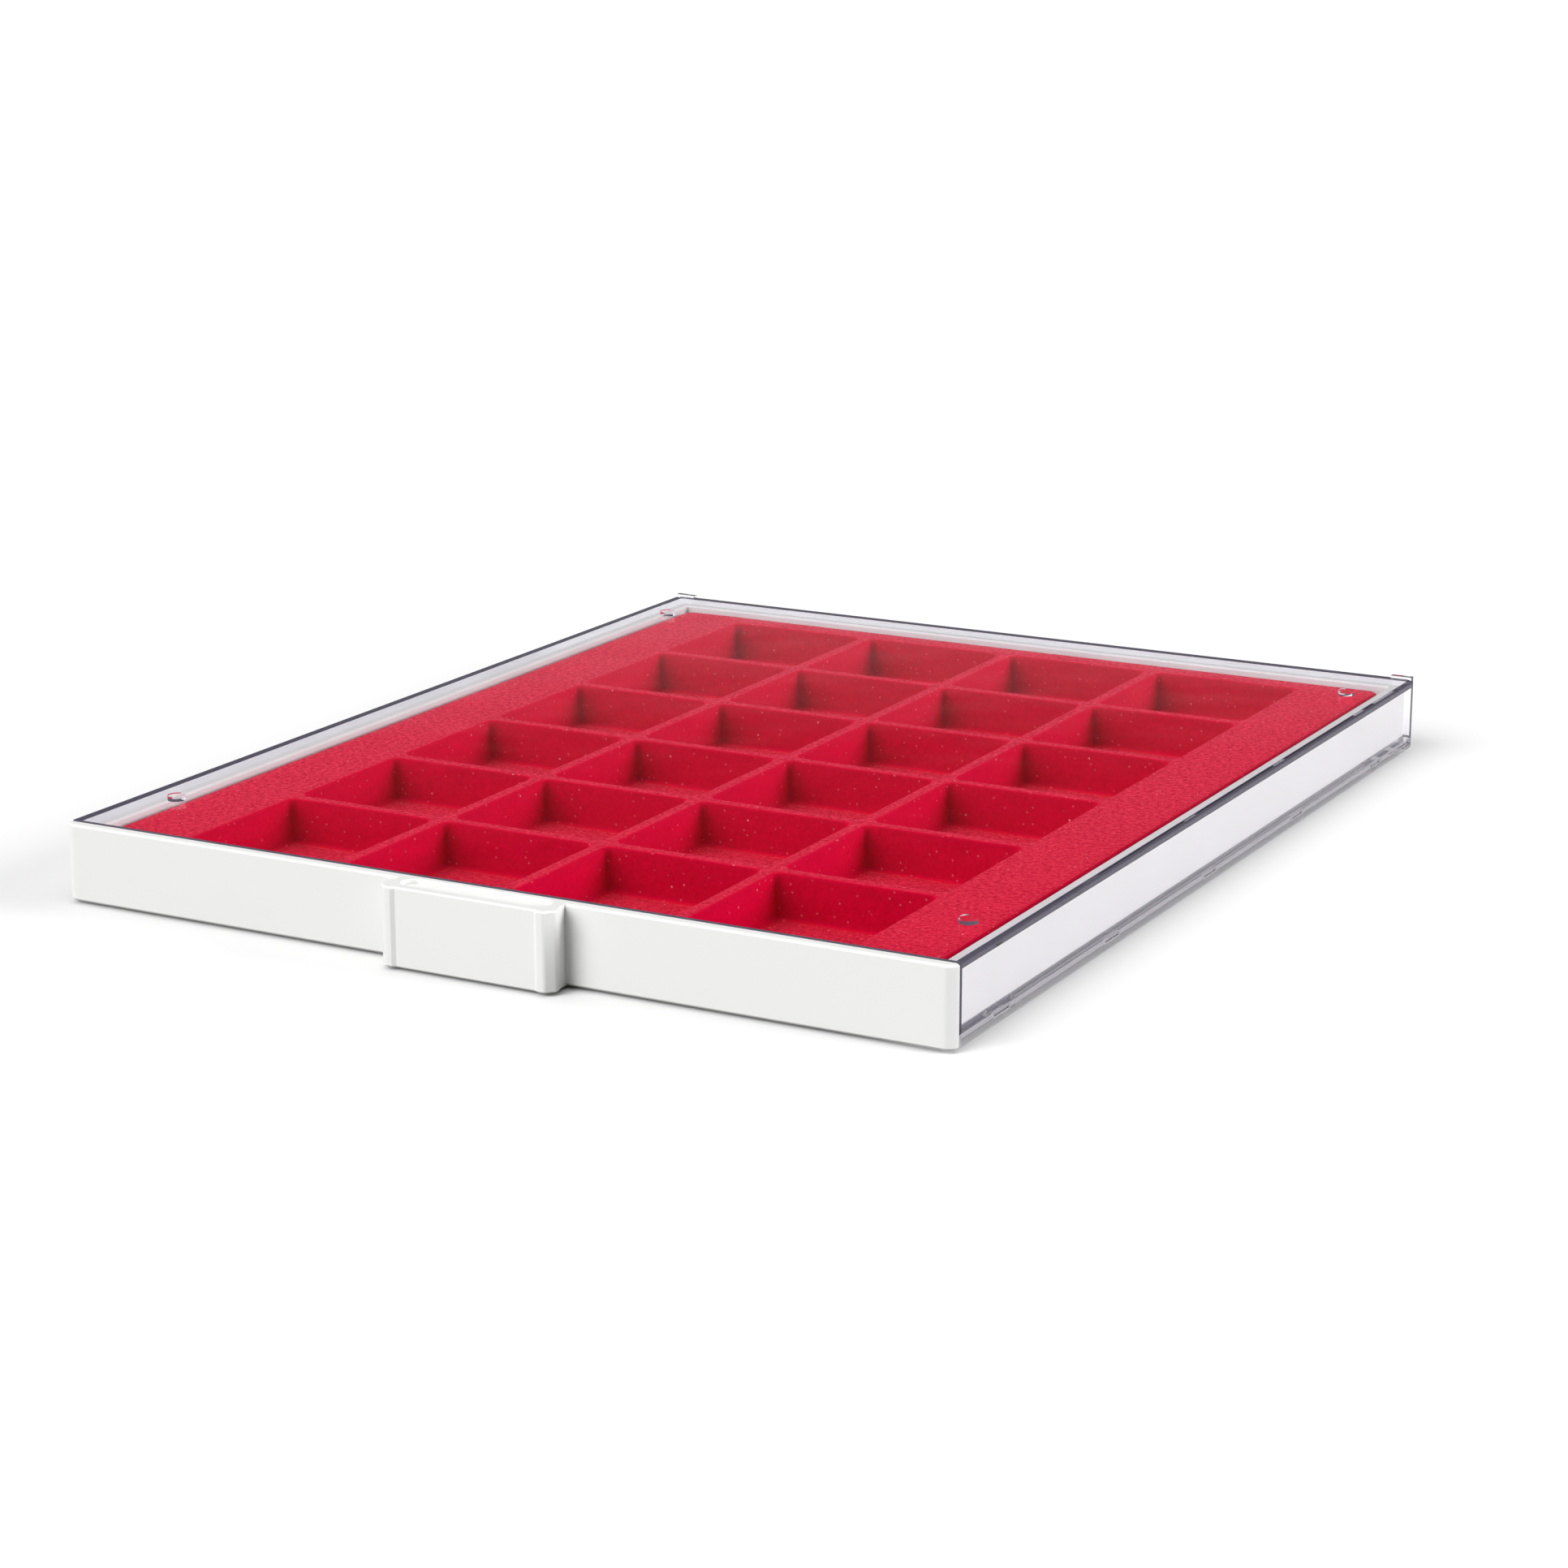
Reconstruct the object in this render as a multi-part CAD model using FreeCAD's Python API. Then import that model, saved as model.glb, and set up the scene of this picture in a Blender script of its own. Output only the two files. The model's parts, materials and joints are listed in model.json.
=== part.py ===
import FreeCAD, Part
import math
import os

# Stackable coin box: a clear two-part housing, open at the front, with a pale drawer
# that slides out towards -Y and carries a flocked sheet of coin pockets.
# +X is to the right of someone facing the front, +Z is up.
# The origin is the bottom centre of the closed box, handle included. Millimetres.

# Coin pockets: their size, number and spacing set the width and the length of the box
pocket_columns = 4
pocket_rows = 6
pocket_size = 41.1
pocket_divider = 4.3
pocket_depth = 10.8
pocket_radius = 2.4
pocket_corner_facets = 3
pocket_lip = 0.6
pocket_draft = 0.6
pocket_foot = 1.0

# Flocked pocket sheet, formed from one skin of constant thickness
insert_sheet = 0.8
insert_side_margin = 21.6
insert_front_margin = 6.6
insert_rear_margin = 8.4
insert_radius = 3.2
insert_lip = 0.9
insert_draft = 0.4
insert_side_gap = 1.65
insert_front_gap = 0.9
insert_rear_gap = 2.1
insert_skirt_lift = 0.2
insert_recess = 1.1

# Pale drawer
tray_wall = 2.8
tray_rear_wall = 2.5
tray_floor = 1.4
tray_rim_chamfer = 0.5
tray_corner_radius = 1.5
tray_inner_radius = 0.8
panel_thickness = 3.0
panel_lift = 0.8
panel_top_step = 0.2
panel_end_radius = 2.6
panel_back_radius = 0.9
panel_edge_chamfer = 0.5

# Handle, moulded on the middle of the front panel
handle_neck = 44.2
handle_flare = 1.2
handle_reach = 7.6
handle_nose_width = 2.2
handle_nose_depth = 2.2
handle_nose_radius = 1.2
handle_cheek = 1.7
handle_scoop = 0.5
handle_scoop_ramp = 1.0
handle_edge_chamfer = 0.4
handle_recess_length = 39.4
handle_recess_width = 6.1
handle_recess_depth = 1.2
handle_bar = 2.7
handle_skin = 2.2
handle_core_gap = 1.6
handle_core_depth = 12.0
handle_core_back = 0.75
handle_core_radius = 0.8

# Running clearances between the drawer and the housing
drawer_side_clearance = 1.3
drawer_rear_clearance = 0.9
drawer_top_clearance = 1.2
rail_top_clearance = 0.3
rail_side_clearance = 0.5
panel_clearance = 0.3

# Clear cover: top plate, two side walls and a rear wall in one moulding
cover_wall = 2.0
cover_top = 2.0
cover_rear_radius = 2.6
cover_edge_radius = 0.6
seam_chamfer = 0.35

# Clear base: a plate raised on side runners, with a rim and two drawer rails
base_plate = 1.6
foot_height = 0.8
base_rim = 2.0
base_rim_rise = 1.3
base_edge_chamfer = 1.2
rail_width = 6.0
rail_height = 1.9
rail_inset = 0.4
rail_setback = 1.0
rail_lead_in = 4.0
rail_nose = 0.6
rail_channel_width = 2.8
rail_channel_roof = 1.6
rail_channel_end = 6.6
rear_foot_depth = 8.0

# Lugs on the cover's lower edge, keyed into notches in the base's rim
lug_count = 5
lug_length = 8.0
lug_depth = 1.0
lug_gap = 0.2
lug_inset_front = 20.5
lug_inset_rear = 31.5
corner_lug_length = 16.0
corner_lug_inset = 12.0

# Stacking studs on the top, the seats for them below, and two rear corner stops
stud_radius = 2.2
stud_height = 1.2
stud_inset_x = 11.0
stud_inset_y = 26.0
stud_seat_clearance = 0.4
stud_seat_rest = 0.3
seat_boss_wall = 2.0
stop_length = 6.0
stop_thickness = 1.8
stop_height = 0.9
stop_clearance = 0.4

# How far shapes reach into or past each other before they are joined or cut,
# and the length under which two places count as the same
overlap = 1.0
same = 1e-3

# Across the box, from the pockets outwards
pocket_pitch = pocket_size + pocket_divider
insert_half_x = (pocket_columns * pocket_pitch - pocket_divider) / 2 + insert_side_margin
tray_half_x = insert_half_x + insert_side_gap + tray_wall
cover_inner_x = tray_half_x + drawer_side_clearance
half_width = cover_inner_x + cover_wall
rail_outer_x = tray_half_x - rail_inset
rail_inner_x = rail_outer_x - rail_width
keel_half_x = rail_inner_x - rail_side_clearance
stud_half_x = half_width - stud_inset_x

# Along the box, with the origin in the middle from the handle to the rear wall
insert_length = (pocket_rows * pocket_pitch - pocket_divider
                 + insert_front_margin + insert_rear_margin)
tray_inner_length = insert_front_gap + insert_length + insert_rear_gap
overall_length = (handle_reach + panel_thickness + tray_inner_length + tray_rear_wall
                  + drawer_rear_clearance + cover_wall)
handle_front_y = -overall_length / 2
panel_front_y = handle_front_y + handle_reach
panel_back_y = panel_front_y + panel_thickness
housing_front_y = panel_back_y + panel_clearance
housing_rear_y = overall_length / 2
housing_mid_y = (housing_front_y + housing_rear_y) / 2
tray_rear_y = housing_rear_y - cover_wall - drawer_rear_clearance
insert_front_y = panel_back_y + insert_front_gap
insert_mid_y = insert_front_y + insert_length / 2
stud_front_y = housing_front_y + stud_inset_y
stud_rear_y = housing_rear_y - stud_inset_y
first_pocket_x = -(pocket_columns - 1) * pocket_pitch / 2
first_pocket_y = insert_front_y + insert_front_margin + pocket_size / 2

# Upwards, from the surface that the box stands on
plate_top_z = foot_height + base_plate
seam_z = plate_top_z + base_rim_rise
rail_top_z = plate_top_z + rail_height
ledge_z = rail_top_z + rail_top_clearance
ledge_top_z = ledge_z + tray_floor
keel_z = plate_top_z + rail_top_clearance
tray_floor_z = keel_z + tray_floor
insert_floor_z = tray_floor_z + insert_sheet
insert_top_z = insert_floor_z + pocket_depth
insert_skirt_z = ledge_top_z + insert_skirt_lift
tray_rim_z = insert_top_z + insert_recess
height = tray_rim_z + drawer_top_clearance + cover_top
panel_top_z = height - panel_top_step


def vec(x, y, z=0.0):
    """A point or a direction."""
    return FreeCAD.Vector(x, y, z)


def block(x0, x1, y0, y1, z0, z1):
    """A straight block between two corners."""
    return Part.makeBox(x1 - x0, y1 - y0, z1 - z0, vec(x0, y0, z0))


def rounded_outline(cx, cy, size_x, size_y, radius, z):
    """A closed rectangle with round corners, centred on (cx, cy) at height z."""
    hx = size_x / 2
    hy = size_y / 2
    diag = radius * (1 - math.sqrt(0.5))
    edges = []
    for sx, sy in ((1, -1), (1, 1), (-1, 1), (-1, -1)):
        along_x = vec(cx + sx * (hx - radius), cy + sy * hy, z)
        along_y = vec(cx + sx * hx, cy + sy * (hy - radius), z)
        middle = vec(cx + sx * (hx - diag), cy + sy * (hy - diag), z)
        first, last = (along_x, along_y) if sx * sy < 0 else (along_y, along_x)
        if edges:
            edges.append(Part.LineSegment(edges[-1].EndPoint, first))
        edges.append(Part.Arc(first, middle, last))
    edges.append(Part.LineSegment(edges[-1].EndPoint, edges[0].StartPoint))
    return Part.Wire([edge.toShape() for edge in edges])


def rounded_block(cx, cy, size_x, size_y, radius, z0, z1):
    """A prism on a rounded rectangle."""
    face = Part.Face(rounded_outline(cx, cy, size_x, size_y, radius, z0))
    return face.extrude(vec(0, 0, z1 - z0))


def drafted_block(half_x, half_y, radius, profile):
    """A block with round corners whose sides follow a profile of (step outwards, z).
    The corners are turned and the sides pushed along, so each face is a plane or a cone."""
    low = profile[0][1]
    high = profile[-1][1]
    centre_x = half_x - radius
    centre_y = half_y - radius
    points = [vec(0, 0, low)] + [vec(radius + step, 0, z) for step, z in profile]
    points.append(vec(0, 0, high))
    section = Part.Face(Part.makePolygon(points + points[:1]))
    corners = [vec(centre_x, -centre_y), vec(centre_x, centre_y),
               vec(-centre_x, centre_y), vec(-centre_x, -centre_y)]
    pieces = []
    for number in range(4):
        start = corners[number]
        end = corners[(number + 1) % 4]
        turned = section.copy()
        turned.rotate(vec(0, 0), vec(0, 0, 1), 90 * number)
        turned.translate(start)
        pieces.append(turned.extrude(end - start))
        turned.translate(end - start)
        pieces.append(turned.revolve(end, vec(0, 0, 1), 90))
    core = block(-centre_x, centre_x, -centre_y, centre_y, low, high)
    return core.fuse(pieces).removeSplitter()


def faceted_outline(half, radius, z):
    """Points round a square whose corners are a few flat facets with their ends on an arc."""
    reach = half - radius
    corners = [(reach, reach), (-reach, reach), (-reach, -reach), (reach, -reach)]
    points = []
    for number, (x, y) in enumerate(corners):
        for step in range(pocket_corner_facets + 1):
            turn = math.radians(90 * (number + step / pocket_corner_facets))
            points.append(vec(x + radius * math.cos(turn), y + radius * math.sin(turn), z))
    return points


def faceted_block(sections):
    """A solid with flat faces between outlines, given as (half size, radius, z) upwards."""
    outlines = [faceted_outline(half, radius, z) for half, radius, z in sections]
    loops = [outlines[0], outlines[-1]]
    for lower, upper in zip(outlines, outlines[1:]):
        for last in range(len(lower)):
            loops.append([lower[last - 1], lower[last], upper[last], upper[last - 1]])
    faces = [Part.Face(Part.makePolygon(loop + loop[:1])) for loop in loops]
    return Part.Solid(Part.Shell(faces))


def moved(shape, x, y):
    """A copy of a shape at another place."""
    copy = shape.copy()
    copy.translate(vec(x, y))
    return copy


def prism(points, direction):
    """A solid made by pushing a flat polygon along a direction."""
    return Part.Face(Part.makePolygon(points + points[:1])).extrude(direction)


def mirrored_x(shape):
    """The same shape on the other side of the middle plane."""
    return shape.mirror(vec(0, 0), vec(1, 0))


def both_sides(shape):
    """A shape and its mirror image, as a list."""
    return [shape, mirrored_x(shape)]


def edges_where(shape, test):
    """The edges whose middle point passes a test."""
    found = []
    for edge in shape.Edges:
        centre = edge.BoundBox.Center
        if test(edge, centre):
            found.append(edge)
    return found


def along(edge, axis):
    """True for an edge that runs along one axis, 0 for X, 1 for Y or 2 for Z."""
    box = edge.BoundBox
    spans = (box.XLength, box.YLength, box.ZLength)
    return spans[axis] > same and sum(spans) - spans[axis] < same


def near(a, b):
    """True for two lengths that are the same to a thousandth."""
    return abs(a - b) < same


def lug_places():
    """Middle and length of each lug on a side, from the front to the rear corner."""
    first = housing_front_y + lug_inset_front
    step = (housing_rear_y - lug_inset_rear - first) / (lug_count - 1)
    places = [(first + number * step, lug_length) for number in range(lug_count)]
    places.append((housing_rear_y - corner_lug_inset, corner_lug_length))
    return places


def stud_places():
    """The four stud centres on the top, which are also the seats' centres below."""
    return [(sx * stud_half_x, y) for sx in (-1, 1) for y in (stud_front_y, stud_rear_y)]


def rear_corner_stop(grow, z0, z1):
    """One of the two bars that stand on the rear corners, grown by a clearance."""
    return block(half_width - cover_edge_radius - stop_length - grow,
                 half_width - cover_edge_radius + grow,
                 housing_rear_y - cover_edge_radius - stop_thickness - grow,
                 housing_rear_y - cover_edge_radius + grow, z0, z1)


def front_trim(overrun):
    """What is cut off in front of the housing, where its outer block runs past the opening."""
    return block(-half_width - overlap, half_width + overlap,
                 housing_front_y - 2 * overrun, housing_front_y, -overlap, height + overlap)


def make_cover():
    """Clear cover: a shallow box without a floor or a front wall."""
    depth = housing_rear_y - housing_front_y
    # The outer block runs past the front, so that only its rear corners are round.
    overrun = 2 * cover_rear_radius
    mid_y = housing_mid_y - overrun / 2
    outer = rounded_block(0, mid_y, 2 * half_width, depth + overrun, cover_rear_radius,
                          seam_z, height)
    top_edges = edges_where(outer, lambda edge, c: near(c.z, height))
    outer = outer.makeFillet(cover_edge_radius, top_edges)
    hollow = rounded_block(0, mid_y, 2 * cover_inner_x, depth + overrun - 2 * cover_wall,
                           cover_rear_radius - cover_wall, seam_z, height - cover_top)
    cover = outer.cut(hollow)
    cover = cover.cut(front_trim(overrun))
    seam = edges_where(cover, lambda edge, c: near(c.z, seam_z)
                       and (near(abs(c.x), half_width) or near(c.y, housing_rear_y)))
    cover = cover.makeChamfer(seam_chamfer, seam)

    additions = []
    for x, y in stud_places():
        additions.append(Part.makeCylinder(stud_radius, stud_height + overlap,
                                           vec(x, y, height - overlap)))
    additions += both_sides(rear_corner_stop(0, height - overlap, height + stop_height))
    for y, length in lug_places():
        lug = block(cover_inner_x, half_width - seam_chamfer, y - length / 2, y + length / 2,
                    seam_z - lug_depth, seam_z + overlap)
        additions += both_sides(lug)
    return cover.fuse(additions).removeSplitter()


def make_base():
    """Clear base: a raised plate on two runners, with a rim and the drawer's rails."""
    depth = housing_rear_y - housing_front_y
    overrun = 2 * cover_rear_radius
    mid_y = housing_mid_y - overrun / 2
    outer = rounded_block(0, mid_y, 2 * half_width, depth + overrun, cover_rear_radius,
                          0, seam_z)
    bottom = edges_where(outer, lambda edge, c: near(c.z, 0))
    outer = outer.makeChamfer(base_edge_chamfer, bottom)
    inside = rounded_block(0, mid_y, 2 * (half_width - base_rim), depth + overrun - 2 * base_rim,
                           cover_rear_radius - base_rim, plate_top_z, seam_z)
    base = outer.cut(inside)

    # Between the runners the plate is lifted off the surface that it stands on.
    lifted = block(-rail_inner_x, rail_inner_x, housing_front_y - 2 * overrun,
                   housing_rear_y - rear_foot_depth, 0, foot_height)
    base = base.cut(lifted)

    # Rails with a sloping start at the front, cored from below.
    rail_front_y = housing_front_y + rail_setback
    rail_rear_y = housing_rear_y - base_rim
    rail_root_z = plate_top_z - overlap
    profile = [vec(rail_inner_x, rail_front_y, rail_root_z),
               vec(rail_inner_x, rail_rear_y, rail_root_z),
               vec(rail_inner_x, rail_rear_y, rail_top_z),
               vec(rail_inner_x, rail_front_y + rail_lead_in, rail_top_z),
               vec(rail_inner_x, rail_front_y, plate_top_z + rail_nose)]
    rail = prism(profile, vec(rail_width, 0, 0))
    bosses = [Part.makeCylinder(stud_radius + stud_seat_clearance + seat_boss_wall,
                                foot_height + overlap, vec(x, y, 0))
              for x, y in stud_places()]
    base = base.fuse(both_sides(rail) + bosses)

    cuts = []
    channel_x = (rail_inner_x + rail_outer_x - rail_channel_width) / 2
    channel = block(channel_x, channel_x + rail_channel_width,
                    stud_front_y + rail_channel_end, stud_rear_y - rail_channel_end,
                    0, rail_top_z - rail_channel_roof)
    cuts += both_sides(channel)
    for x, y in stud_places():
        cuts.append(Part.makeCylinder(stud_radius + stud_seat_clearance,
                                      stud_height + stud_seat_rest, vec(x, y, 0)))
    cuts += both_sides(rear_corner_stop(stop_clearance, 0, stop_height + stop_clearance))
    for y, length in lug_places():
        notch = block(cover_inner_x - lug_gap, half_width,
                      y - length / 2 - lug_gap, y + length / 2 + lug_gap,
                      seam_z - lug_depth - lug_gap, seam_z)
        cuts += both_sides(notch)
    cuts.append(front_trim(overrun))
    return base.cut(cuts).removeSplitter()


def make_handle():
    """Handle block: a neck that flares, round noses and a shallow scoop between them."""
    neck = handle_neck / 2
    wide = neck + handle_flare
    nose_x = wide - handle_nose_width
    cheek_x = nose_x - handle_cheek
    root_y = panel_front_y + overlap
    nose_y = handle_front_y + handle_nose_depth
    half = [(neck, root_y), (neck, panel_front_y), (wide, nose_y),
            (nose_x, handle_front_y), (cheek_x, handle_front_y),
            (cheek_x - handle_scoop_ramp, handle_front_y + handle_scoop)]
    outline = half + [(-x, y) for x, y in reversed(half)]
    handle = prism([vec(x, y, panel_lift) for x, y in outline],
                   vec(0, 0, panel_top_z - panel_lift))
    noses = edges_where(handle, lambda edge, c: along(edge, 2) and c.y < nose_y + same
                        and abs(c.x) > nose_x - same)
    handle = handle.makeFillet(handle_nose_radius, noses)
    rims = edges_where(handle, lambda edge, c: edge.BoundBox.YMax < panel_front_y + same
                       and (near(c.z, panel_lift) or near(c.z, panel_top_z)))
    return handle.makeChamfer(handle_edge_chamfer, rims)


def handle_cuts():
    """The recess in the handle's top and the two hollows that core it from below."""
    recess_y = handle_front_y + handle_bar + handle_recess_width / 2
    recess = rounded_block(0, recess_y, handle_recess_length, handle_recess_width,
                           handle_recess_width / 2 - same,
                           panel_top_z - handle_recess_depth, panel_top_z)
    core_x = (handle_neck / 2 - handle_skin + handle_core_gap / 2) / 2
    core_length = handle_neck / 2 - handle_skin - handle_core_gap / 2
    core_y0 = handle_front_y + handle_scoop + handle_skin
    core_y1 = panel_front_y + handle_core_back
    core = rounded_block(core_x, (core_y0 + core_y1) / 2, core_length, core_y1 - core_y0,
                         handle_core_radius, panel_lift, panel_lift + handle_core_depth)
    return [recess] + both_sides(core)


def make_panel():
    """Front panel, as wide as the housing, with rounded ends."""
    panel = block(-half_width, half_width, panel_front_y, panel_back_y, panel_lift, panel_top_z)
    front_ends = edges_where(panel, lambda edge, c: along(edge, 2) and near(c.y, panel_front_y))
    panel = panel.makeFillet(panel_end_radius, front_ends)
    back_ends = edges_where(panel, lambda edge, c: along(edge, 2) and near(c.y, panel_back_y)
                            and near(abs(c.x), half_width))
    panel = panel.makeFillet(panel_back_radius, back_ends)
    rims = edges_where(panel, lambda edge, c: near(c.z, panel_lift) or near(c.z, panel_top_z))
    rims = [edge for edge in rims if edge.BoundBox.Center.y < panel_back_y - same
            and edge.BoundBox.YMax < panel_back_y - panel_back_radius + same]
    return panel.makeChamfer(panel_edge_chamfer, rims)


def tray_section(y):
    """Outer cross-section of the tray: walls on side ledges, with a keel between the rails."""
    points = [(tray_half_x, ledge_z), (tray_half_x, tray_rim_z),
              (-tray_half_x, tray_rim_z), (-tray_half_x, ledge_z),
              (-keel_half_x, ledge_z), (-keel_half_x, keel_z),
              (keel_half_x, keel_z), (keel_half_x, ledge_z)]
    return [vec(x, y, z) for x, z in points]


def make_tray():
    """Drawer: a shallow tray on side ledges, with its front panel and handle in one piece."""
    start_y = panel_back_y - overlap
    body = prism(tray_section(start_y), vec(0, tray_rear_y - start_y, 0))
    corners = edges_where(body, lambda edge, c: along(edge, 2) and near(c.y, tray_rear_y)
                          and near(abs(c.x), tray_half_x))
    body = body.makeFillet(tray_corner_radius, corners)

    inner_half_x = tray_half_x - tray_wall
    mid_y = panel_back_y + tray_inner_length / 2
    well = rounded_block(0, mid_y, 2 * (keel_half_x - tray_floor), tray_inner_length,
                         tray_inner_radius, tray_floor_z, ledge_top_z + overlap)
    upper = drafted_block(inner_half_x, tray_inner_length / 2, tray_inner_radius,
                          [(0, ledge_top_z), (0, tray_rim_z - tray_rim_chamfer),
                           (tray_rim_chamfer, tray_rim_z)])
    tray = body.fuse([make_panel(), make_handle()])
    return tray.cut([moved(upper, 0, mid_y), well] + handle_cuts()).removeSplitter()


def pocket_centres():
    """The middle of each pocket, row by row from the front."""
    return [(first_pocket_x + column * pocket_pitch, first_pocket_y + row * pocket_pitch)
            for row in range(pocket_rows) for column in range(pocket_columns)]


def pocket_inside():
    """The space of one pocket: a flared lip, drafted walls and a bevelled foot."""
    half = pocket_size / 2
    floor_step = pocket_draft + pocket_foot
    return faceted_block([
        (half - floor_step, pocket_radius - floor_step, insert_floor_z),
        (half - pocket_draft, pocket_radius - pocket_draft, insert_floor_z + pocket_foot),
        (half, pocket_radius, insert_top_z - pocket_lip),
        (half + pocket_lip, pocket_radius + pocket_lip, insert_top_z)])


def pocket_cup():
    """The outside of one pocket, one sheet thickness away from its inside."""
    half = pocket_size / 2 + insert_sheet
    radius = pocket_radius + insert_sheet
    floor_step = pocket_draft + pocket_foot
    return faceted_block([
        (half - floor_step, radius - floor_step, tray_floor_z),
        (half - pocket_draft, radius - pocket_draft, tray_floor_z + pocket_foot),
        (half, radius, insert_top_z - insert_sheet / 2)])


def make_insert():
    """Pocket sheet: one constant-wall skin formed into a skirt and rows of pockets."""
    under_z = insert_top_z - insert_sheet
    outer = drafted_block(insert_half_x, insert_length / 2, insert_radius,
                          [(insert_draft, insert_skirt_z), (0, insert_top_z - insert_lip),
                           (-insert_lip, insert_top_z)])
    under = drafted_block(insert_half_x - insert_sheet, insert_length / 2 - insert_sheet,
                          insert_radius - insert_sheet,
                          [(insert_draft, insert_skirt_z), (0, under_z - insert_lip / 2),
                           (-insert_lip / 2, under_z)])
    sheet_top = moved(outer.cut(under), 0, insert_mid_y)
    cup = pocket_cup()
    inside = pocket_inside()
    cups = [moved(cup, x, y) for x, y in pocket_centres()]
    insides = [moved(inside, x, y) for x, y in pocket_centres()]
    return sheet_top.fuse(cups).cut(insides).removeSplitter()


def export_node(name, shape):
    """Write one node and say what it holds."""
    solids = shape.Solids
    node = solids[0] if len(solids) == 1 else Part.makeCompound(solids)
    node.exportStep("parts/" + name + ".step")
    box = node.BoundBox
    print(name, "solids", len(solids), "valid", node.isValid(),
          "volume_cm3", round(node.Volume / 1000, 2),
          "x", round(box.XMin, 2), round(box.XMax, 2),
          "y", round(box.YMin, 2), round(box.YMax, 2),
          "z", round(box.ZMin, 2), round(box.ZMax, 2))


os.makedirs("parts", exist_ok=True)
export_node("housing_cover", make_cover())
export_node("housing_base", make_base())
export_node("drawer_tray", make_tray())
export_node("coin_insert", make_insert())
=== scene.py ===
# %% [markdown]
# A flat coin box: a clear moulded housing that is open at the front, with a pale drawer that
# slides out of it and carries a red flocked sheet of coin pockets. The construction comes in
# as a fixed frame, in metres, and this lesson gives each surface its finish. Only the sheet of
# pockets is shaped anew, because forming leaves every edge of it rounded.

# %% Load the frame
import json
import math
import bpy
import numpy as np
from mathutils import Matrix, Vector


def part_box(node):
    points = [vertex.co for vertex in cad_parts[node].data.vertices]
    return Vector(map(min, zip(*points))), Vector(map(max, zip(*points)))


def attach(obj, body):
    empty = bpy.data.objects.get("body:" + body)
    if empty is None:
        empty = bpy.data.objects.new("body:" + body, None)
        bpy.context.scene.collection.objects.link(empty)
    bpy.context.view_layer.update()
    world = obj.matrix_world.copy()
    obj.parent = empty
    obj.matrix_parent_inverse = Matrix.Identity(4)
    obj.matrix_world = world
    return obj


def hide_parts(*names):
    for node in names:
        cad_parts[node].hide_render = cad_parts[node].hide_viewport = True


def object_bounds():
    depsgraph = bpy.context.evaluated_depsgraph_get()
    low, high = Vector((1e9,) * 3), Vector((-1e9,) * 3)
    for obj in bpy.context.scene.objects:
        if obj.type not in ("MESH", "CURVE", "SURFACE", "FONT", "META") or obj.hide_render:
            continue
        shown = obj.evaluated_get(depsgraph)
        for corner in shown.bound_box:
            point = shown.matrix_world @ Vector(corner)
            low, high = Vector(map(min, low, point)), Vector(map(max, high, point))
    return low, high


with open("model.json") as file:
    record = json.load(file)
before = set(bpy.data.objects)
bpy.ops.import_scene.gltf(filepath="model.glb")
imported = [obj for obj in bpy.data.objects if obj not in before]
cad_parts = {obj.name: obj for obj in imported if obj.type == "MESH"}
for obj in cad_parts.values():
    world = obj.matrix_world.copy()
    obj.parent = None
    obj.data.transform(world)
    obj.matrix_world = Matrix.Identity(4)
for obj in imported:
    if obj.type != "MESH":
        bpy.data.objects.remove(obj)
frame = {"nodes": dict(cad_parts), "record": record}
cad_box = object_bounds()
nodes = frame["nodes"]
MM = 0.001
print("pieces in the frame:", sorted(nodes))
print("box of the frame:", cad_box)

# %% [markdown]
# Materials are node trees, and a tree is easier to read when it is written as a sum. So one
# small class wraps a socket, and the operators on it add the Math nodes. A second class holds
# a material's tree, with one method that adds any other node from its settings and its inputs.

# %% A socket that can be calculated with
class Wire:
    """One output of a node. Arithmetic on wires and numbers adds Math nodes to the tree."""

    def __init__(self, finish, socket):
        self.finish = finish
        self.socket = socket

    def math(self, operation, first, second):
        return self.finish.node("ShaderNodeMath", {"operation": operation},
                                {0: first, 1: second})

    def __add__(self, other):
        return self.math("ADD", self, other)

    def __sub__(self, other):
        return self.math("SUBTRACT", self, other)

    def __rsub__(self, other):
        return self.math("SUBTRACT", other, self)

    def __mul__(self, other):
        return self.math("MULTIPLY", self, other)

    def __gt__(self, other):
        return self.math("GREATER_THAN", self, other)

    __radd__ = __add__
    __rmul__ = __mul__


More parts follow.
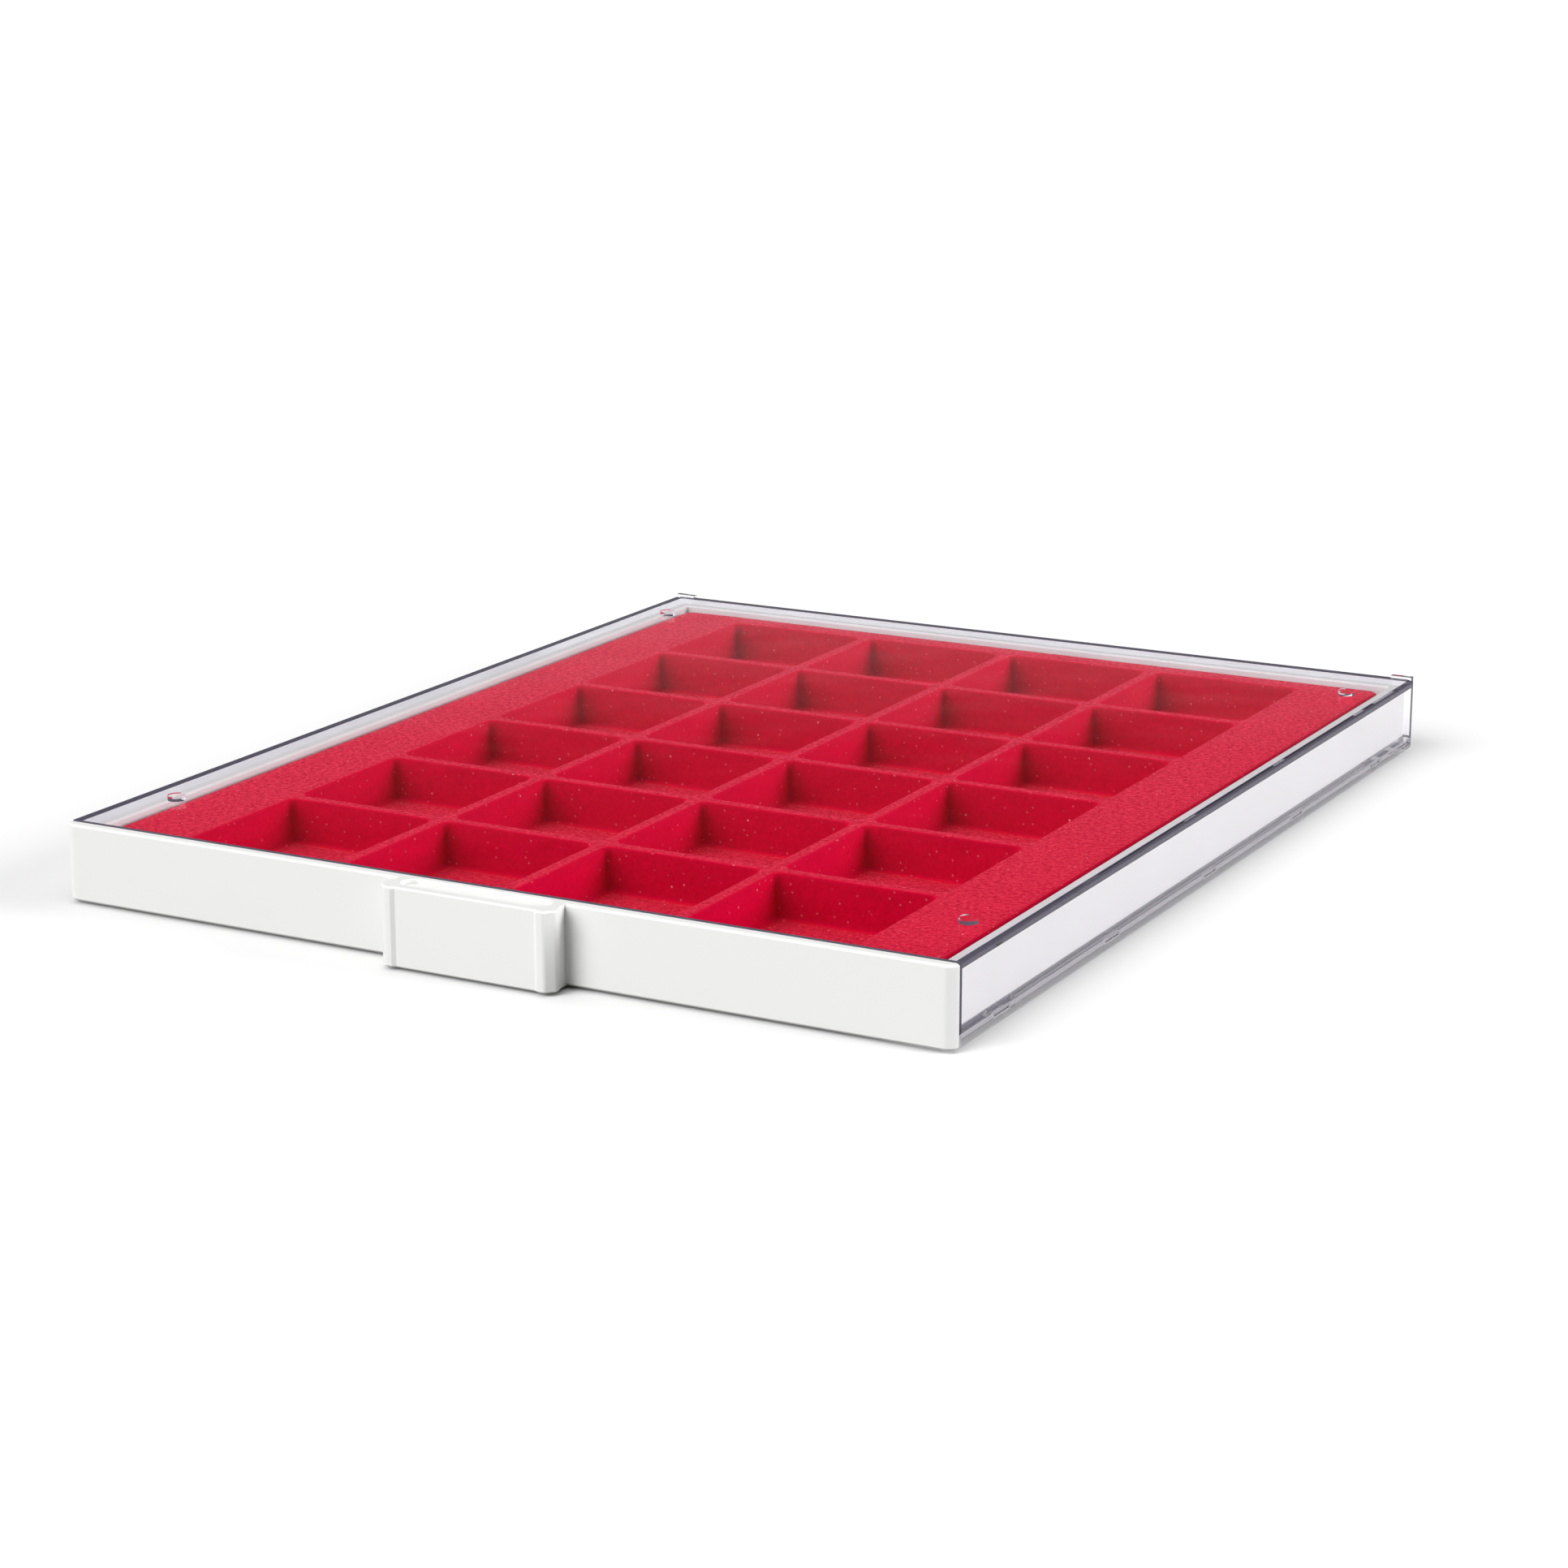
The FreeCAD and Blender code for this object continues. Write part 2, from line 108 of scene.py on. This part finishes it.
# %% A material's tree, with one way to add a node
class Finish:
    """The node tree of a material, or of the world."""

    def __init__(self, owner):
        owner.use_nodes = True
        self.owner = owner
        self.tree = owner.node_tree
        self.tree.nodes.clear()

    def node(self, kind, settings=None, inputs=None, output=0):
        """Adds a node of a type, sets its settings, then its sockets' values or links."""
        made = self.tree.nodes.new(kind)
        for name, value in (settings or {}).items():
            setattr(made, name, value)
        for name, value in (inputs or {}).items():
            socket = made.inputs[name]
            if isinstance(value, Wire):
                self.tree.links.new(value.socket, socket)
            elif socket.type == "RGBA":
                socket.default_value = (*value, 1)
            else:
                socket.default_value = value
        return Wire(self, made.outputs[output])

    def place(self):
        """The point on the surface, in the object's own metres."""
        return self.node("ShaderNodeTexCoord", output="Object")

    def noise(self, lump, detail=2.0, roughness=0.5):
        """Noise from 0 to 1 about 0.5, with lumps of about the given size in metres."""
        return self.node("ShaderNodeTexNoise", None,
                         {"Vector": self.place(), "Scale": 1 / lump, "Detail": detail,
                          "Roughness": roughness})

    def specks(self, spacing):
        """The distance to the nearest of many scattered points, in their spacing in metres."""
        return self.node("ShaderNodeTexVoronoi", None,
                         {"Vector": self.place(), "Scale": 1 / spacing})

    def ramp(self, value, stops):
        """A number looked up from stops, each of which is a place from 0 to 1 and a number."""
        wire = self.node("ShaderNodeValToRGB", None, {0: value})
        bar = wire.socket.node.color_ramp
        for _ in stops[2:]:
            bar.elements.new(1.0)
        for element, (place, number) in zip(bar.elements, stops):
            element.position = place
            element.color = (number, number, number, 1)
        return wire

    def bump(self, height, depth, strength=1.0):
        """A normal tilted by a height of 0 to 1, which stands for depth metres."""
        return self.node("ShaderNodeBump", None,
                         {"Height": height, "Distance": depth, "Strength": strength})

    def mix_colour(self, factor, first, second):
        """A colour between two colours."""
        return self.node("ShaderNodeMix", {"data_type": "RGBA"},
                         {0: factor, 6: first, 7: second}, output=2)

    def surface(self, shader, end_kind="ShaderNodeOutputMaterial"):
        """Makes a shader the tree's surface and gives back the tree's owner."""
        end = self.tree.nodes.new(end_kind)
        self.tree.links.new(shader.socket, end.inputs["Surface"])
        return self.owner


def new_finish(name):
    """An empty tree in a new material."""
    return Finish(bpy.data.materials.new(name))


def dress(name, material):
    """Gives a node of the frame one material."""
    mesh = nodes[name].data
    mesh.materials.clear()
    mesh.materials.append(material)


# %% [markdown]
# The housing is clear moulded plastic, and a refracting shader gives it the bright and dark
# lines along its edges. Three things are added to it. A share of the reflection is bent through
# instead, as a polarising filter on a camera does, so that the plate stays clear at a low angle.
# Light that has been mirrored inside a plate several times would go on for long, so there it
# ends
# in a faint lilac glow: painted light that stands in for what a thick edge shows. And light
# reaches what lies behind such a shader only by chance, so rays that look for light, and rays
# that spread from a matt surface, pass straight through. A slow waviness breaks the reflections
# up.

# %% Clear polystyrene
PLASTIC_IOR = 1.55
FILTER = 0.6
MIRRORED_OFTEN = 2.5


def clear_polystyrene():
    """Clear plastic: bent and filtered for the eye, and a window for light."""
    finish = new_finish("clear_polystyrene")
    waves = finish.bump(finish.noise(26 * MM, 1.0), 0.03 * MM)
    smears = finish.noise(16 * MM, 4.0) * 0.02 + 0.005
    clear = finish.node("ShaderNodeBsdfPrincipled", None, {
        "Base Color": (0.95, 0.94, 0.975), "Transmission Weight": 1.0, "IOR": PLASTIC_IOR,
        "Roughness": smears, "Normal": waves})
    bent = finish.node("ShaderNodeBsdfRefraction", None, {
        "Color": (0.99, 0.99, 1.0), "IOR": PLASTIC_IOR, "Roughness": 0.0, "Normal": waves})
    mirrored = finish.node("ShaderNodeFresnel", None, {"IOR": PLASTIC_IOR, "Normal": waves})
    filtered = finish.node("ShaderNodeMixShader", None, {
        0: (1 - mirrored) * FILTER, 1: clear, 2: bent})
    # Painted light: a faint lilac glow that rays end in after many mirrorings inside a plate.
    painted_edge_glow = finish.node("ShaderNodeEmission", None, {"Color": (0.11, 0.10, 0.135)})
    long_way = finish.node("ShaderNodeLightPath", output="Glossy Depth") > MIRRORED_OFTEN
    seen = finish.node("ShaderNodeMixShader", None, {0: long_way, 1: filtered, 2: painted_edge_glow})
    passing = finish.node("ShaderNodeBsdfTransparent", None, {"Color": (0.975, 0.97, 0.98)})
    shadow = finish.node("ShaderNodeLightPath", output="Is Shadow Ray")
    spread = finish.node("ShaderNodeLightPath", output="Is Diffuse Ray")
    return finish.surface(finish.node("ShaderNodeMixShader", None, {
        0: shadow + spread, 1: seen, 2: passing}))


clear = clear_polystyrene()
dress("housing_cover", clear)
dress("housing_base", clear)
print("housing dressed in", clear.name)

# %% [markdown]
# The drawer is an off-white moulding with a satin face. Its colour is nearly even, so what
# makes it read as plastic is a broad soft gloss over a very fine grain.

# %% Pale moulded plastic
def pale_plastic():
    """Off-white plastic: nearly even in colour, and satin."""
    finish = new_finish("pale_moulded_plastic")
    cloud = finish.noise(45 * MM, 3.0)
    colour = finish.mix_colour(cloud, (0.80, 0.80, 0.785), (0.83, 0.83, 0.815))
    grain = finish.bump(finish.noise(0.4 * MM, 2.0), 0.02 * MM, 0.35)
    rough = finish.noise(11 * MM, 3.0) * 0.12 + 0.34
    return finish.surface(finish.node("ShaderNodeBsdfPrincipled", None, {
        "Base Color": colour, "Roughness": rough, "Normal": grain, "IOR": 1.5}))


pale = pale_plastic()
dress("drawer_tray", pale)
print("drawer dressed in", pale.name)

# %% [markdown]
# The pocket sheet is a thin plastic skin, drawn by vacuum over a mould and coated with short
# red fibres. Every edge comes out round, which flat-faced construction can't show. The sheet
# here is one surface over a grid: inside a pocket's cell, the grid's square rings become the
# rings of the pocket, and a ring's distance from the middle gives its height.

# %% Pocket places, read from the frame
pocket_boxes = np.array([pocket["box_m"] for pocket in frame["record"]["physics"]["openings"]])
pocket_middles = pocket_boxes.mean(axis=1).round(6)
columns = np.unique(pocket_middles[:, 0])
rows = np.unique(pocket_middles[:, 1])
pitch = float(columns[1] - columns[0])
sheet_low, sheet_high = (np.array(corner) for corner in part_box("coin_insert"))
print("pockets:", len(columns), "by", len(rows), "at", round(pitch / MM, 2), "mm")

# %% [markdown]
# A profile is two lists, how far out and how high, that are read at the same place. Round
# stretches are quarter turns, so that a few steps are enough.

# %% The pocket's profile, from the middle of its floor to the middle of a divider
SHEET = 0.8 * MM
DRAFT = 0.6 * MM
LIP = 0.6 * MM
FOOT = 1.3 * MM
SIDE = 20.75 * MM
SIDE_RADIUS = 2.0 * MM
top = float(sheet_high[2])
floor = float(sheet_low[2]) + SHEET
turn = np.linspace(0, math.pi / 2, 5)

foot_out = SIDE - DRAFT - FOOT + FOOT * np.sin(turn)
foot_up = floor + FOOT * (1 - np.cos(turn))
lip_out = SIDE + LIP * (1 - np.cos(turn))
lip_up = top - LIP * (1 - np.sin(turn))
wall_share = np.array([1 / 3, 2 / 3])
wall_out = foot_out[-1] + wall_share * (lip_out[0] - foot_out[-1])
wall_up = foot_up[-1] + wall_share * (lip_up[0] - foot_up[-1])
ring_out = np.concatenate([[0, foot_out[0] / 2], foot_out, wall_out, lip_out, [pitch / 2]])
ring_up = np.concatenate([[floor, floor], foot_up, wall_up, lip_up, [top]])
print("rings about a pocket, in mm:", (ring_out / MM).round(2))

# %% [markdown]
# The sheet's own edge is bent down all round into a skirt that stands in the drawer. It gets a
# profile too: how far it has run along the sheet, how far out it is by then, and how high.

# %% The sheet's own edge, from its corner's centre line over the rim and down the skirt
EDGE_RADIUS = 3.2 * MM
RIM = 1.0 * MM
SKIRT_DRAFT = 0.4 * MM
skirt_end = top - 9.5 * MM
flat_run = EDGE_RADIUS - RIM
rim_run = np.concatenate([[0, flat_run / 2], flat_run + RIM * turn])
rim_out = np.concatenate([[0, flat_run / 2], flat_run + RIM * np.sin(turn)])
rim_up = np.concatenate([[top, top], top - RIM * (1 - np.cos(turn))])
skirt_share = np.array([1 / 3, 2 / 3, 1])
skirt_drop = rim_up[-1] - skirt_end
edge_run = np.concatenate([rim_run, rim_run[-1] + skirt_share * skirt_drop])
edge_out = np.concatenate([rim_out, rim_out[-1] + skirt_share * SKIRT_DRAFT])
edge_up = np.concatenate([rim_up, rim_up[-1] - skirt_share * skirt_drop])
print("edge reaches", round(edge_out[-1] / MM, 2), "mm past the corner's centre line")

# %% [markdown]
# A grid needs the places of its lines. They lie close together where the sheet bends, at the
# lips, the feet and the rim, and far apart where it is flat, so that few faces give a smooth
# sheet.

# %% Grid lines along one direction
MARGIN_STEPS = 3


def grid_lines(centres, low, high):
    """Places of the grid's lines along one direction. About each pocket they lie at the
    rings' distances, in the margins they are even, and past the last corner's centre line
    they lie at the edge profile's running lengths."""
    ring_both_ways = np.concatenate([-ring_out[:0:-1], ring_out[:-1]])
    cells = (centres[:, None] + ring_both_ways[None, :]).ravel()
    cells_end = centres[-1] + pitch / 2
    before = np.linspace(low, cells[0], MARGIN_STEPS + 1)[:-1]
    after = np.linspace(cells_end, high, MARGIN_STEPS + 1)
    return np.concatenate([low - edge_run[:0:-1], before, cells, after, high + edge_run[1:]])


side_line = edge_out[-1]
x_low, x_high = float(sheet_low[0]) + side_line, float(sheet_high[0]) - side_line
y_low, y_high = float(sheet_low[1]) + side_line, float(sheet_high[1]) - side_line
x_lines = grid_lines(columns, x_low, x_high)
y_lines = grid_lines(rows, y_low, y_high)
print("grid of", len(x_lines), "by", len(y_lines), "lines")

# %% [markdown]
# Two flat directions meet in every corner, of a pocket and of the sheet, and a square ring
# has to become a round one there. The larger of the two distances says which ring a point is
# on, and the smaller one, as a share of the larger, says how far round the corner it lies.

# %% Round corners from square rings
def round_corner(first, second, radius):
    """Turns a point of a square quarter ring into one of a round quarter ring. The distances
    first and second from the corner's centre are both above 0. The point's angle from the
    nearer axis is an eighth of a turn times the smaller distance over the larger."""
    larger = np.maximum(first, second)
    share = np.minimum(first, second) / np.where(larger > 0, larger, 1)
    angle = share * math.pi / 4
    near_axis = radius * np.cos(angle)
    far_axis = radius * np.sin(angle)
    swap = second > first
    return np.where(swap, far_axis, near_axis), np.where(swap, near_axis, far_axis)


def pocket_sheet():
    """The sheet's points. In a pocket's cell the larger distance from the pocket's middle is
    the ring, and the ring gives the height. Past the corner centre lines of the sheet, the
    running length gives how far out and how high the point lies."""
    flat_x, flat_y = np.meshgrid(x_lines, y_lines, indexing="ij")
    near_x = columns[np.abs(flat_x[..., None] - columns).argmin(axis=-1)]
    near_y = rows[np.abs(flat_y[..., None] - rows).argmin(axis=-1)]
    from_x, from_y = flat_x - near_x, flat_y - near_y
    ring = np.maximum(np.abs(from_x), np.abs(from_y))
    height = np.interp(ring, ring_out, ring_up)

    corner = SIDE - SIDE_RADIUS
    past_x, past_y = np.abs(from_x) - corner, np.abs(from_y) - corner
    turned = (past_x > 0) & (past_y > 0) & (ring < pitch / 2 - MM / 10)
    round_x, round_y = round_corner(past_x, past_y, np.maximum(past_x, past_y))
    x = np.where(turned, near_x + np.sign(from_x) * (corner + round_x), flat_x)
    y = np.where(turned, near_y + np.sign(from_y) * (corner + round_y), flat_y)

    run_x = np.maximum(np.maximum(x_low - flat_x, flat_x - x_high), 0)
    run_y = np.maximum(np.maximum(y_low - flat_y, flat_y - y_high), 0)
    run = np.maximum(run_x, run_y)
    out = np.interp(run, edge_run, edge_out)
    edge_x, edge_y = round_corner(run_x, run_y, out)
    clamped_x, clamped_y = np.clip(flat_x, x_low, x_high), np.clip(flat_y, y_low, y_high)
    on_edge = run > 0
    x = np.where(on_edge, clamped_x + np.sign(flat_x - clamped_x) * edge_x, x)
    y = np.where(on_edge, clamped_y + np.sign(flat_y - clamped_y) * edge_y, y)
    height = np.where(on_edge, np.interp(run, edge_run, edge_up), height)
    return np.stack([x, y, height], axis=-1)


# %% [markdown]
# The sheet is one skin, so only its top side is calculated, and a modifier gives it the
# thickness of the plastic. A second modifier keeps the shading of the flat stretches flat next
# to the small round ones.

# %% A mesh from a grid of points
def grid_mesh(name, points):
    """An object whose faces join each four neighbours of a grid of points."""
    rows_count, columns_count = points.shape[:2]
    number = np.arange(rows_count * columns_count).reshape(rows_count, columns_count)
    corners = np.stack([number[:-1, :-1], number[1:, :-1], number[1:, 1:], number[:-1, 1:]],
                       axis=-1).reshape(-1, 4)
    mesh = bpy.data.meshes.new(name)
    mesh.from_pydata(points.reshape(-1, 3), [], corners)
    mesh.shade_smooth()
    made = bpy.data.objects.new(name, mesh)
    bpy.context.collection.objects.link(made)
    return made


flocked_sheet = grid_mesh("flocked_pocket_sheet", pocket_sheet())
skin = flocked_sheet.modifiers.new("skin", "SOLIDIFY")
skin.thickness = SHEET
skin.offset = -1
shading = flocked_sheet.modifiers.new("even_shading", "WEIGHTED_NORMAL")
shading.weight = 90
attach(flocked_sheet, "drawer")
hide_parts("coin_insert")
print("sheet has", len(flocked_sheet.data.polygons), "faces on its top side")

# %% [markdown]
# Flock is a coat of short upright fibres with no gloss, and its colour carries painted light.
# The flat faces are painted a lighter red, as if lit from above. The walls are painted deep
# where they are seen straight on, where the eye looks down between the fibres, and lighter at a
# slant, as if lit from the side. At a low angle the pile takes a pale painted sheen of fibre
# tips, as velvet does, and Layer Weight tells the three apart. The coat is mottled where the
# fibres lean, and fine lint and a few larger crumbs of dust cling to it.

# %% Red flock
def red_flock():
    """Red fibres, with painted light on flat faces and walls, a painted sheen, lint and crumbs.
    """
    finish = new_finish("red_flock")
    lean = finish.noise(9 * MM, 3.0, 0.6)
    fibre = finish.noise(1.2 * MM, 3.0, 0.85)
    tips = finish.ramp(fibre, ((0.36, 0.0), (0.64, 1.0)))
    facing = finish.node("ShaderNodeLayerWeight", None, {"Blend": 0.5}, output="Facing")
    # Painted light: walls seen at a slant are painted lighter, as if lit from the side, and
    # straight on they keep a painted shaded red.
    slant_light_share = finish.ramp(facing, ((0.15, 0.0), (0.54, 1.0), (1.0, 1.0)))
    # Painted sheen: how far the pile turns to pale fibre tips at a low angle.
    painted_sheen_share = finish.ramp(facing, ((0.60, 0.0), (0.75, 1.0)))
    # A shaded and a lit copy of the red, mixed by the angle above: painted shade and painted
    # light.
    shaded_pile = finish.mix_colour(lean, (0.44, 0.0, 0.018), (0.52, 0.0, 0.026))
    lit = finish.mix_colour(lean, (0.64, 0.0, 0.038), (0.74, 0.002, 0.050))
    wall_pile_painted_light = finish.mix_colour(slant_light_share * 0.75 + tips * 0.4, shaded_pile, lit)
    # Painted light: flat faces get a lighter red, as if lit from above.
    flat_pile_painted_lit = finish.mix_colour(lean, (0.68, 0.002, 0.028), (0.78, 0.004, 0.038))
    outward = finish.node("ShaderNodeTexCoord", output="Normal")
    upward = finish.node("ShaderNodeSeparateXYZ", None, {0: outward}, output="Z")
    pile = finish.mix_colour(finish.ramp(upward, ((0.7, 0.0), (0.95, 1.0))),
                             wall_pile_painted_light, flat_pile_painted_lit)
    # Painted sheen: the pale pink of fibre tips seen at a low angle, grained by the tips.
    painted_sheen_colour = finish.mix_colour(tips, (0.52, 0.008, 0.038), (1.0, 0.056, 0.108))
    coat = finish.mix_colour(painted_sheen_share, pile, painted_sheen_colour)
    crumbs = finish.ramp(finish.specks(5 * MM), ((0.03, 0.6), (0.06, 0.0)))
    lint = finish.ramp(finish.specks(2.4 * MM), ((0.05, 0.22), (0.14, 0.0)))
    colour = finish.mix_colour(crumbs + lint, coat, (0.9, 0.45, 0.45))
    nap = finish.bump(fibre, 0.3 * MM, 0.8)
    return finish.surface(finish.node("ShaderNodeBsdfPrincipled", None, {
        "Base Color": colour, "Roughness": 0.95, "Specular IOR Level": 0.03, "Normal": nap}))


flocked_sheet.data.materials.append(red_flock())
dress("coin_insert", flocked_sheet.data.materials[0])
print("sheet dressed in", flocked_sheet.data.materials[0].name)

# %% [markdown]
# The box stands on plain pale paper. For rays that spread from a matt surface the paper is dim,
# as if dark cards lay about the box, so that less light comes up from below and the shaded sides
# keep their depth.

# %% Floor
FLOOR_SIZE = 24.0
bpy.ops.mesh.primitive_plane_add(size=FLOOR_SIZE)
floor_plane = bpy.context.object
floor_plane.name = "studio_floor"
paper = new_finish("studio_paper")
pale_paper = paper.node("ShaderNodeBsdfDiffuse", None, {"Color": (0.90, 0.90, 0.90)})
dim_paper = paper.node("ShaderNodeBsdfDiffuse", None, {"Color": (0.20, 0.20, 0.20)})
bounced = paper.node("ShaderNodeLightPath", output="Is Diffuse Ray")
floor_plane.data.materials.append(paper.surface(paper.node("ShaderNodeMixShader", None, {
    0: bounced, 1: pale_paper, 2: dim_paper})))
print("floor", FLOOR_SIZE, "m across")

# %% [markdown]
# Clear plastic shows little but what it reflects and bends, so the surround matters more than
# the lamps. It is bright overhead, like a studio ceiling of soft boxes, and dark at the heights
# that the top plate mirrors to the eye, which keeps the plate clear and draws the dark lines in
# the edges. Towards the horizon it gets lighter again, and that puts a slight haze on the far
# end of the plate.

# %% Surround, from below the horizon up to straight overhead
GLOW = ((-90, 0.5), (-1, 0.5), (4, 0.5), (11, 0.24), (14.5, 0.025), (17, 0.006), (38, 0.006),
        (50, 0.8), (90, 0.9))

scene = bpy.context.scene
scene.view_settings.view_transform = "Standard"
scene.world = bpy.data.worlds.new("studio")
studio = Finish(scene.world)
aim = studio.node("ShaderNodeTexCoord", output="Generated")
upward = studio.node("ShaderNodeSeparateXYZ", None, {0: aim}, output="Z")
stops = [(0.5 + math.sin(math.radians(height)) / 2, light) for height, light in GLOW]
glow = studio.ramp(upward * 0.5 + 0.5, stops)
studio.surface(studio.node("ShaderNodeBackground", None, {"Color": (1, 1, 1), "Strength": glow}),
               "ShaderNodeOutputWorld")
print("surround, place on the ramp and light:", [(round(p, 3), g) for p, g in stops])


# %% [markdown]
# Two wide lamps light the matt surfaces, one from the front left and one low from the right,
# that reaches the pocket walls. They are hidden from reflections and from refracting surfaces,
# because their mirror image would lie on the top plate as a hard-edged white patch.

# %% Lamps
def far_lamp(name, bearing, elevation, spread, strength):
    """A lamp so far away that it lights everything alike, as a wide soft box would. The
    bearing is counted from the front towards the right, and all angles are in degrees."""
    lamp = bpy.data.lights.new(name, "SUN")
    lamp.angle = math.radians(spread)
    lamp.energy = strength
    made = bpy.data.objects.new(name, lamp)
    bpy.context.collection.objects.link(made)
    made.rotation_euler = (math.radians(90 - elevation), 0, math.radians(bearing))
    made.visible_glossy = made.visible_transmission = False


far_lamp("key_lamp", -26, 29, 50, 3.15)
far_lamp("side_lamp", 107, 16, 24, 2.75)

# %% [markdown]
# The camera stands at the bearing and the height that the photograph was taken from, and looks
# at the middle of the box through a long lens, which draws the near and the far end alike.

# %% Camera
BEARING = math.radians(28.3)
ELEVATION = math.radians(15.0)
DISTANCE = 0.944
LENS = 84

middle = (np.array(cad_box[0]) + np.array(cad_box[1])) / 2
camera_data = bpy.data.cameras.new("camera")
camera_data.lens = LENS
camera = bpy.data.objects.new("camera", camera_data)
bpy.context.collection.objects.link(camera)
ahead = np.array([math.sin(BEARING) * math.cos(ELEVATION),
                  -math.cos(BEARING) * math.cos(ELEVATION), math.sin(ELEVATION)])
camera.location = middle + DISTANCE * ahead
camera.rotation_euler = (math.pi / 2 - ELEVATION, 0, BEARING)
scene.camera = camera
print("camera at", [round(v, 3) for v in camera.location])
